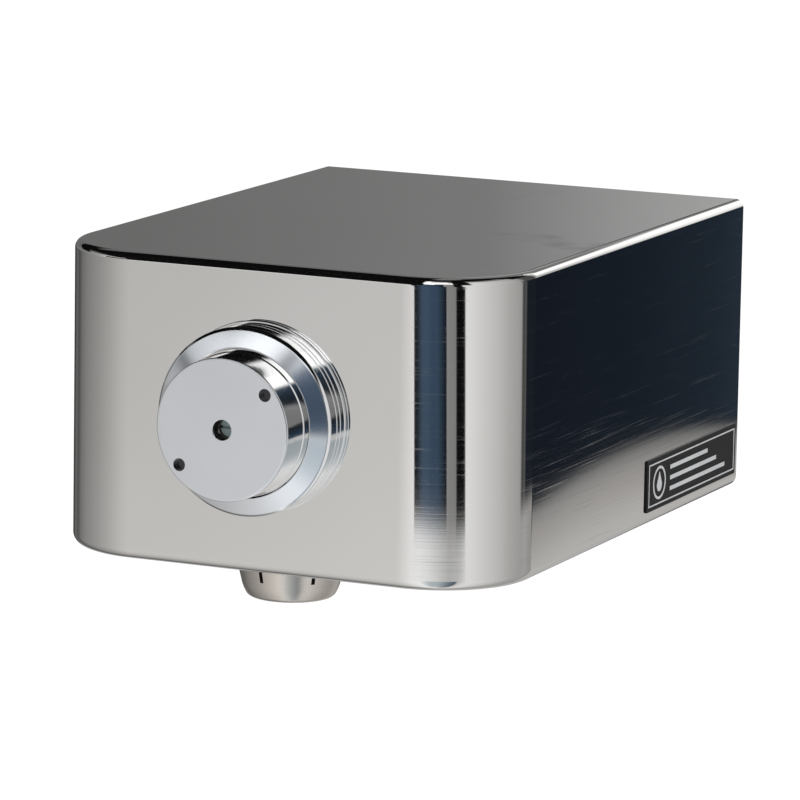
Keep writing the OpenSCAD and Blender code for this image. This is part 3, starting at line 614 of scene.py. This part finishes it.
base = turned_piece([(NECK_R, PANEL, 0), (RING_R, PANEL, 0.15), *groove(RING_R, RING_GROOVE),
                     (RING_R, RING_FRONT, 0.3), (NECK_R, RING_FRONT, 0)], ON_VALVE)
base_ring = finish_piece("base_ring_turned", base, "frame", ["base_ring"])
cone = turned_piece([(NECK_R, RING_FRONT, 0), (BEZEL_R, RING_FRONT, 0.25),
                     *groove(BEZEL_R, RING_FRONT + GROOVE_GAP), *groove(BEZEL_R, RING_FRONT + 2 * GROOVE_GAP),
                     (BEZEL_R, BEZEL_EDGE - 0.8, 0.2), (BEZEL_R - 0.8, BEZEL_EDGE, 0.25),
                     (BEZEL_BORE_R + GROOVE, BEZEL_TIP, 0.2), (BEZEL_BORE_R, BEZEL_TIP - GROOVE, 0.2),
                     (BEZEL_BORE_R, BEZEL_FLOOR, 0), (NECK_R, BEZEL_FLOOR, 0)], ON_VALVE)
bezel = finish_piece("bezel_turned", cone, "frame", ["bezel"])

# %% [markdown]
# The cap is a cup with a hub inside that sits on the stem's head. A wider band runs round its
# foot. Two holes near its edge take a pin spanner, and the flow adjuster is reached through
# the hole in the middle.

# %% Push cap with its three holes
CAP_R, CAP_FACE, CAP_FOOT, CAP_WALL_R, CAP_UNDER = 23.3, 246.5, 231, 16.8, 243.5
BAND, BAND_END = 0.35, 234.9
HUB_R, HUB_END, STEM_SOCKET_R, STEM_SOCKET_END = 11, 236.1, 7.5, 242.1
ADJUSTER_HOLE_R, FACE_EDGE_R = 3.3, 22.2
SPANNER_R, SPANNER_INSET, SPANNER_ROUND, SPANNER_TURNS = 2.1, 3.7, 0.22, (40, 220)

cap_bm = turned_piece([(STEM_SOCKET_R, HUB_END, 0), (HUB_R, HUB_END, 0.2), (HUB_R, CAP_UNDER, 0),
                       (CAP_WALL_R, CAP_UNDER, 0), (CAP_WALL_R, CAP_FOOT, 0.2),
                       (CAP_R + BAND, CAP_FOOT, 0.2), (CAP_R + BAND, BAND_END, 0.08),
                       (CAP_R, BAND_END + BAND, 0.08), (CAP_R, CAP_FACE, 0.5),
                       (FACE_EDGE_R, CAP_FACE, 0), (CAP_WALL_R, CAP_FACE, 0),
                       (ADJUSTER_HOLE_R, CAP_FACE, 0.25), (ADJUSTER_HOLE_R, STEM_SOCKET_END, 0),
                       (STEM_SOCKET_R, STEM_SOCKET_END, 0)], ON_VALVE)
spanner = bmesh.new()
spanner_places = []
for turn_by in SPANNER_TURNS:
    arm = (CAP_R - SPANNER_INSET) * MM
    centre = Vector((arm * math.cos(math.radians(turn_by)), arm * math.sin(math.radians(turn_by)), 0))
    spanner_places.append(ON_VALVE @ centre)
    rod(spanner, SPANNER_R, CAP_UNDER - 1, CAP_FACE + 3.5, ON_VALVE @ Matrix.Translation(centre), 48)
cap_bm = cut(cap_bm, spanner)
for place in spanner_places:
    rounded = round_rims(cap_bm, place, (0, -1, 0), SPANNER_R * MM, SPANNER_ROUND * MM, CAP_FACE * MM)
    print("rounded", rounded, "edges of a spanner hole")
push_cap = finish_piece("push_cap_turned", cap_bm, "button", ["push_cap"])

# %% [markdown]
# ## The nozzle
#
# The nozzle is a tapered shroud round a socket. It is turned first, and then six upright
# slots are cut through its skirt, which let air in beside the water.

# %% Nozzle
UNDERSIDE, SHROUD_TOP, NOZZLE_END, TIP_ROUND = -51, -45, -62.4, 3.7
NOZZLE_TOP_R, NOZZLE_TIP_R, SHROUD_WALL = 17.8, 15, 2.1
COLLAR_R, SOCKET_R, SOCKET_TOP, SOCKET_BOTTOM = 12, 10, -44.0, -51.5
MOUTH_R, WEB_TOP, INSERT_BOTTOM, RING_SEAT_R, RING_SEAT = 10.6, -57.2, -60.0, 11.4, 1.2
TAPER = (NOZZLE_TOP_R - NOZZLE_TIP_R) / (UNDERSIDE - NOZZLE_END)


def cone_r(height):
    """Radius of the shroud's outside at a height."""
    return NOZZLE_TOP_R + TAPER * (height - UNDERSIDE)


bend_z = NOZZLE_END + TIP_ROUND
shroud = turned_piece([(MOUTH_R, NOZZLE_END, 0.3), (11.3, NOZZLE_END, 0.3), (14.4, NOZZLE_END + 0.6, 1.1),
                       (cone_r(bend_z), bend_z, 1.1), (cone_r(SHROUD_TOP), SHROUD_TOP, 0.2),
                       (cone_r(SHROUD_TOP) - SHROUD_WALL, SHROUD_TOP, 0.2), (COLLAR_R + 0.9, WEB_TOP, 0),
                       (COLLAR_R, WEB_TOP, 0), (COLLAR_R, SOCKET_TOP, 0.2), (SOCKET_R, SOCKET_TOP, 0.2),
                       (SOCKET_R, SOCKET_BOTTOM, 0), (MOUTH_R, SOCKET_BOTTOM, 0), (MOUTH_R, INSERT_BOTTOM, 0),
                       (RING_SEAT_R, INSERT_BOTTOM, 0), (RING_SEAT_R, INSERT_BOTTOM - RING_SEAT, 0),
                       (MOUTH_R, INSERT_BOTTOM - RING_SEAT, 0)], ON_OUTLET)
print("shroud with", len(shroud.faces), "faces")

# %% [markdown]
# The cutter for the slots is a ring of six thin blocks. A small bevel then breaks the slots'
# outer edges.

# %% Air slots
SLOT_COUNT, SLOT_TURN, SLOT_REACH = 6, -99.5, 16.0
SLOT_DEPTH, SLOT_WIDTH, SLOT_HEIGHT, SLOT_FOOT = 6.6, 1.3, 12, -55.5
SLOT_EDGE = 0.25

slots = bmesh.new()
slot_size = Matrix.Diagonal((SLOT_DEPTH * MM, SLOT_WIDTH * MM, SLOT_HEIGHT * MM, 1))
for k in range(SLOT_COUNT):
    swing = Matrix.Rotation(math.radians(SLOT_TURN + 360 / SLOT_COUNT * k), 4, "Z")
    move = Matrix.Translation((SLOT_REACH * MM, 0, (SLOT_FOOT + SLOT_HEIGHT / 2) * MM))
    bmesh.ops.create_cube(slots, size=1, matrix=ON_OUTLET @ swing @ move @ slot_size)
shroud = cut(shroud, slots)


def on_cone(v):
    """True for a point on the shroud's outside, between the slots' feet and its top."""
    reach = math.hypot(v.co.x, v.co.y - OUTLET_Y) / MM
    height = v.co.z / MM
    return SLOT_FOOT - 0.1 < height < SHROUD_TOP - 1 and abs(reach - cone_r(height)) < 0.03


slot_rims = [e for e in shroud.edges if len(e.link_faces) == 2 and e.calc_face_angle(0) > 0.8
             and on_cone(e.verts[0]) and on_cone(e.verts[1])]
bmesh.ops.bevel(shroud, geom=slot_rims, offset=SLOT_EDGE * MM, affect="EDGES", segments=2,
                profile=0.5, material=-1, clamp_overlap=True)
print("softened", len(slot_rims), "slot edges")
nozzle = finish_piece("nozzle_turned", shroud, "frame", ["nozzle"])

# %% [markdown]
# ## The name plate
#
# A foil plate is glued to the right wall. It is a thin block with a soft edge. Its silver
# border and its plain mark are thin CAD solids on its face, and they only need a finish.

# %% Name plate
PLATE_CORNER, PLATE_EDGE = 0.8, 0.2

plate_low, plate_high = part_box("name_plate")
middle, size = (plate_low + plate_high) / 2, plate_high - plate_low
bm = bmesh.new()
bmesh.ops.create_cube(bm, size=1, matrix=Matrix.Translation(middle) @ Matrix.Diagonal((*size, 1)))
corners = [e for e in bm.edges if abs(e.verts[0].co.x - e.verts[1].co.x) > 1e-5]
bmesh.ops.bevel(bm, geom=corners, offset=PLATE_CORNER * MM, affect="EDGES", segments=5,
                profile=0.5, material=-1)
face_edges = [e for e in bm.edges if all(abs(v.co.x - plate_high.x) < 1e-6 for v in e.verts)]
bmesh.ops.bevel(bm, geom=face_edges, offset=PLATE_EDGE * MM, affect="EDGES", segments=3,
                profile=0.5, material=-1)
name_plate = finish_piece("name_plate_foil", bm, "frame", ["name_plate"])

# %% [markdown]
# ## The return spring
#
# The spring sits between the sleeve's web and the stem's head, and it gets shorter when the
# button goes in. One circle of wire is spun round the axis while it climbs.

# %% Return spring
WIRE_R, COIL_R, FIRST_TURN = 0.6, 6.2, 206.75
TURNS, CLIMB, STEPS = 4.5, 18.5, 180

bm = bmesh.new()
on_edge = Matrix.Rotation(math.radians(90), 4, "X")
bmesh.ops.create_circle(bm, segments=10, radius=WIRE_R * MM,
                        matrix=Matrix.Translation((COIL_R * MM, 0, FIRST_TURN * MM)) @ on_edge)
bmesh.ops.spin(bm, geom=bm.verts[:] + bm.edges[:], cent=(0, 0, 0), axis=(0, 0, 1),
               dvec=(0, 0, CLIMB * MM / STEPS), angle=TURNS * math.tau, steps=STEPS, use_merge=False)
ends = [e for e in bm.edges if len(e.link_faces) == 1]
bmesh.ops.holes_fill(bm, edges=ends, sides=0)
bmesh.ops.recalc_face_normals(bm, faces=bm.faces)
bmesh.ops.transform(bm, matrix=ON_VALVE, verts=bm.verts)
spring = finish_piece("return_spring_coil", bm, "frame", ["return_spring"])
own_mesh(spring)

# %% [markdown]
# ## Finishes
#
# Each finish starts from one shader. Grain is a noise that is stretched along the way the
# tool ran, and it changes the roughness and the height. A coarse noise changes the colour
# a little. On the polished sheet, thin stretched streaks stand for hairline scratches.

# %% The finish helper


def noise(mat, scale, detail=3.0, stretch=(1, 1, 1), rough=0.5):
    """A noise pattern on the object's own coordinates. Returns its grey output."""
    where = add(mat, "Mapping", Scale=stretch)
    join(mat, add(mat, "TexCoord").outputs["Object"], where.inputs["Vector"])
    made = add(mat, "TexNoise", Scale=scale, Detail=detail, Roughness=rough)
    join(mat, where.outputs[0], made.inputs["Vector"])
    return made.outputs[0]


def span(mat, value, low, high, start=0.0, end=1.0):
    """Maps a grey value from low..high to start..end."""
    made = add(mat, "MapRange", From_Min=low, From_Max=high, To_Min=start, To_Max=end)
    join(mat, value, made.inputs["Value"])
    return made.outputs[0]


def calc(mat, operation, a, b):
    """Works one operation on two values, each a number or an output."""
    made = add(mat, "Math", operation=operation)
    for socket, value in zip(made.inputs, (a, b)):
        if isinstance(value, (int, float)):
            socket.default_value = value
        else:
            join(mat, value, socket)
    return made.outputs[0]


def mix_colours(mat, factor, first, second):
    """Mixes two colours, each a tuple or an output."""
    made = add(mat, "Mix", data_type="RGBA")
    join(mat, factor, made.inputs[0])
    for socket, value in ((made.inputs[6], first), (made.inputs[7], second)):
        if isinstance(value, tuple):
            socket.default_value = (*value, 1)
        else:
            join(mat, value, socket)
    return made.outputs[2]


def bump(mat, height, depth, under=None):
    """Turns a grey height into small slopes. depth is in metres."""
    made = add(mat, "Bump", Strength=1.0, Distance=depth)
    join(mat, height, made.inputs["Height"])
    if under is not None:
        join(mat, under, made.inputs["Normal"])
    return made.outputs[0]


def finish(name, light, dark, metallic, rough, grain, depth, coarse=(40, 3, (1, 1, 1)), waves=None, **extra):
    """A finish from two close colours, a roughness range, a grain and a coarse mottle."""
    mat = new_material(name)
    shader = add(mat, "BsdfPrincipled", Metallic=metallic, **extra)
    fine = noise(mat, *grain)
    patch = noise(mat, *coarse)
    join(mat, mix_colours(mat, span(mat, patch, 0.35, 0.65), dark, light), shader.inputs["Base Color"])
    both = calc(mat, "ADD", calc(mat, "MULTIPLY", fine, 0.6), calc(mat, "MULTIPLY", patch, 0.4))
    join(mat, span(mat, both, 0.35, 0.65, *rough), shader.inputs["Roughness"])
    slope = bump(mat, fine, depth)
    if waves:
        slope = bump(mat, noise(mat, waves[0], 1.0), waves[1], slope)
    join(mat, slope, shader.inputs["Normal"])
    join(mat, shader.outputs[0], add(mat, "OutputMaterial").inputs[0])
    return mat


print("finish helpers are ready")

# %% [markdown]
# The housing's sheet is polished after it is brushed, so it is almost a mirror with fine
# level lines. On the walls the lines run level, and on the top they run from side to side.
# The sheet is never quite flat, so a very long wave bends what it reflects.

# %% Polished sheet


def polished_sheet():
    """Polished stainless sheet with fine lines, a few scratches and a long wave."""
    mat = new_material("polished_steel")
    shader = add(mat, "BsdfPrincipled", Metallic=1.0)
    normal = add(mat, "SeparateXYZ")
    join(mat, add(mat, "TexCoord").outputs["Normal"], normal.inputs[0])
    lies_flat = span(mat, calc(mat, "ABSOLUTE", normal.outputs["Z"], 0), 0.6, 0.8)
    on_walls = noise(mat, 1.0, 4.0, (9, 9, 2400))
    on_top = noise(mat, 1.0, 4.0, (9, 2400, 9))
    lines = add(mat, "Mix", data_type="FLOAT")
    for out, socket in ((lies_flat, 0), (on_walls, 2), (on_top, 3)):
        join(mat, out, lines.inputs[socket])
    lines = lines.outputs[0]
    patch = noise(mat, 14.0, 3.0)
    scratch = span(mat, noise(mat, 1.0, 3.0, (20, 20, 3000), 0.6), 0.58, 0.74)
    join(mat, mix_colours(mat, span(mat, patch, 0.3, 0.7), (0.775, 0.765, 0.75), (0.80, 0.795, 0.785)),
         shader.inputs["Base Color"])
    rough = span(mat, lines, 0.3, 0.7, 0.03, 0.06)
    rough = calc(mat, "ADD", rough, calc(mat, "MULTIPLY", scratch, 0.15))
    join(mat, rough, shader.inputs["Roughness"])
    slope = bump(mat, lines, 1.0e-6)
    slope = bump(mat, noise(mat, 8.0, 1.0), 8e-5, slope)
    join(mat, slope, shader.inputs["Normal"])
    join(mat, shader.outputs[0], add(mat, "OutputMaterial").inputs[0])
    return mat


steel = polished_sheet()
print("polished sheet has", len(steel.node_tree.nodes), "nodes")

# %% [markdown]
# The remaining finishes come from the helper. Cast brass has a sandy skin, turned brass has
# fine rings, zinc plate is mottled, rubber is dull and dusty, and the button's satin face
# is a very fine even grain.

# %% All other finishes
finishes = {
    "polished_steel": steel,
    "chrome_plate": finish("chrome_plate", (0.82, 0.83, 0.84), (0.78, 0.79, 0.80), 1.0, (0.05, 0.09),
                           (1.0, 3.0, (300, 2600, 300)), 3e-7),
    "satin_chrome": finish("satin_chrome", (0.80, 0.83, 0.87), (0.78, 0.81, 0.85), 1.0, (0.14, 0.20),
                           (9000, 1.0), 1.5e-7),
    "satin_nickel": finish("satin_nickel", (0.70, 0.655, 0.61), (0.66, 0.62, 0.575), 1.0, (0.26, 0.32),
                           (1.0, 3.0, (500, 500, 3000)), 2.5e-7),
    "hole_shade": finish("hole_shade", (0.11, 0.11, 0.12), (0.07, 0.07, 0.08), 1.0, (0.4, 0.55),
                         (1.0, 3.0, (300, 2600, 300)), 2e-6),
    "mill_steel": finish("mill_steel", (0.58, 0.585, 0.59), (0.46, 0.465, 0.475), 1.0, (0.28, 0.46),
                         (1.0, 3.0, (30, 900, 900)), 4e-6, (22, 4, (1, 1, 1))),
    "zinc_steel": finish("zinc_steel", (0.70, 0.72, 0.76), (0.56, 0.58, 0.60), 1.0, (0.22, 0.36),
                         (900, 4.0), 3e-6, (300, 3, (1, 1, 1))),
    "label_black": finish("label_black", (0.009, 0.0095, 0.0105), (0.006, 0.006, 0.007), 0.0, (0.34, 0.46),
                          (2600, 2.0), 1.5e-6, Specular_IOR_Level=0.16),
    "label_silver": finish("label_silver", (0.58, 0.59, 0.61), (0.52, 0.53, 0.55), 0.2, (0.4, 0.5),
                           (2600, 2.0), 1e-6),
    "black_rubber": finish("black_rubber", (0.032, 0.032, 0.033), (0.018, 0.018, 0.019), 0.0, (0.6, 0.8),
                           (1800, 4.0), 1e-5, (120, 4, (1, 1, 1))),
    "brass": finish("brass", (0.78, 0.58, 0.28), (0.62, 0.44, 0.20), 1.0, (0.18, 0.32),
                    (1.0, 3.0, (300, 2400, 300)), 3e-6, (60, 4, (1, 1, 1))),
    "cast_brass": finish("cast_brass", (0.62, 0.46, 0.24), (0.46, 0.33, 0.17), 1.0, (0.38, 0.58),
                         (700, 5.0), 6e-5, (90, 4, (1, 1, 1))),
    # The stem's brass is darkened almost to black: painted shade for the cap's middle hole.
    "stem_brass_painted_shade": finish("stem_brass_painted_shade", (0.085, 0.08, 0.07), (0.055, 0.052, 0.046), 1.0, (0.3, 0.45),
                         (1.0, 3.0, (300, 2400, 300)), 3e-6),
    "adjuster_nylon": finish("adjuster_nylon", (0.27, 0.35, 0.36), (0.22, 0.29, 0.30), 0.0, (0.4, 0.55),
                             (1600, 3.0), 6e-6),
    "spring_steel": finish("spring_steel", (0.60, 0.60, 0.61), (0.44, 0.44, 0.46), 1.0, (0.18, 0.32),
                           (2600, 3.0), 2e-6),
    "white_ptfe": finish("white_ptfe", (0.86, 0.86, 0.84), (0.80, 0.80, 0.78), 0.0, (0.4, 0.55),
                         (900, 3.0), 4e-6),
    "grey_acetal": finish("grey_acetal", (0.50, 0.50, 0.49), (0.42, 0.42, 0.42), 0.0, (0.35, 0.5),
                          (1400, 3.0), 4e-6),
    "copper": finish("copper", (0.86, 0.48, 0.32), (0.62, 0.32, 0.20), 1.0, (0.2, 0.42),
                     (1.0, 3.0, (1200, 60, 1200)), 3e-6, (70, 5, (1, 1, 1))),
}
print("made", len(finishes), "finishes")

# %% [markdown]
# The new pieces get their finishes now. The bezel's cone and the cap's face are satin, and
# the spanner holes are darker inside.

# %% Finish the new pieces
BEZEL_SATIN, CAP_SATIN, HOLE_FROM = BEZEL_EDGE - 0.5, CAP_FACE - 0.3, CAP_FACE - 0.4

made_pieces = {"polished_steel": [housing], "chrome_plate": [base_ring, bezel, push_cap],
               "satin_nickel": [nozzle], "label_black": [name_plate], "spring_steel": [spring]}
for slot, things in made_pieces.items():
    for thing in things:
        thing.data.materials.clear()
        thing.data.materials.append(finishes[slot])

for thing, front in ((bezel, BEZEL_SATIN), (push_cap, CAP_SATIN)):
    thing.data.materials.append(finishes["satin_chrome"])
    satin = [f for f in thing.data.polygons if f.normal.y < -0.8 and f.center.y < -front * MM]
    for face in satin:
        face.material_index = 1
    print(thing.name, "has", len(satin), "satin faces")

push_cap.data.materials.append(finishes["hole_shade"])
for face in push_cap.data.polygons:
    for place in spanner_places:
        arm = face.center - place
        if math.hypot(arm.x, arm.z) < (SPANNER_R + 0.02) * MM and face.center.y > -HOLE_FROM * MM:
            face.material_index = 2

# %% [markdown]
# The button's pieces, and the valve's pieces inside them, are left out of other pieces'
# reflections, as in a retouched shot: the panel round the button stays plain.

# %% Keep the panel plain
IN_FRONT = ("valve_body", "cartridge_sleeve", "cartridge_nut", "stem", "stem_o_ring", "flow_screw")

unseen = [base_ring, bezel, push_cap, *(nodes[name] for name in IN_FRONT)]
for thing in unseen:
    thing.visible_glossy = False
print("left", len(unseen), "pieces out of reflections")

# %% [markdown]
# The pieces that CAD drew keep their meshes. Their slots name a finish, and only the stem
# gets another one: brass darkened with painted shade, for the shade it lies in deep in the
# cap's middle hole.

# %% Give the CAD nodes their finishes
for name, node in nodes.items():
    for holder in node.material_slots:
        wanted = holder.material.name.split(".")[0] if holder.material else ""
        # The stem gets the brass darkened with painted shade.
        if name == "stem":
            wanted = "stem_brass_painted_shade"
        if wanted in finishes:
            holder.material = finishes[wanted]
        else:
            print("no finish for", name, wanted)
print("finishes given to", len(nodes), "nodes")
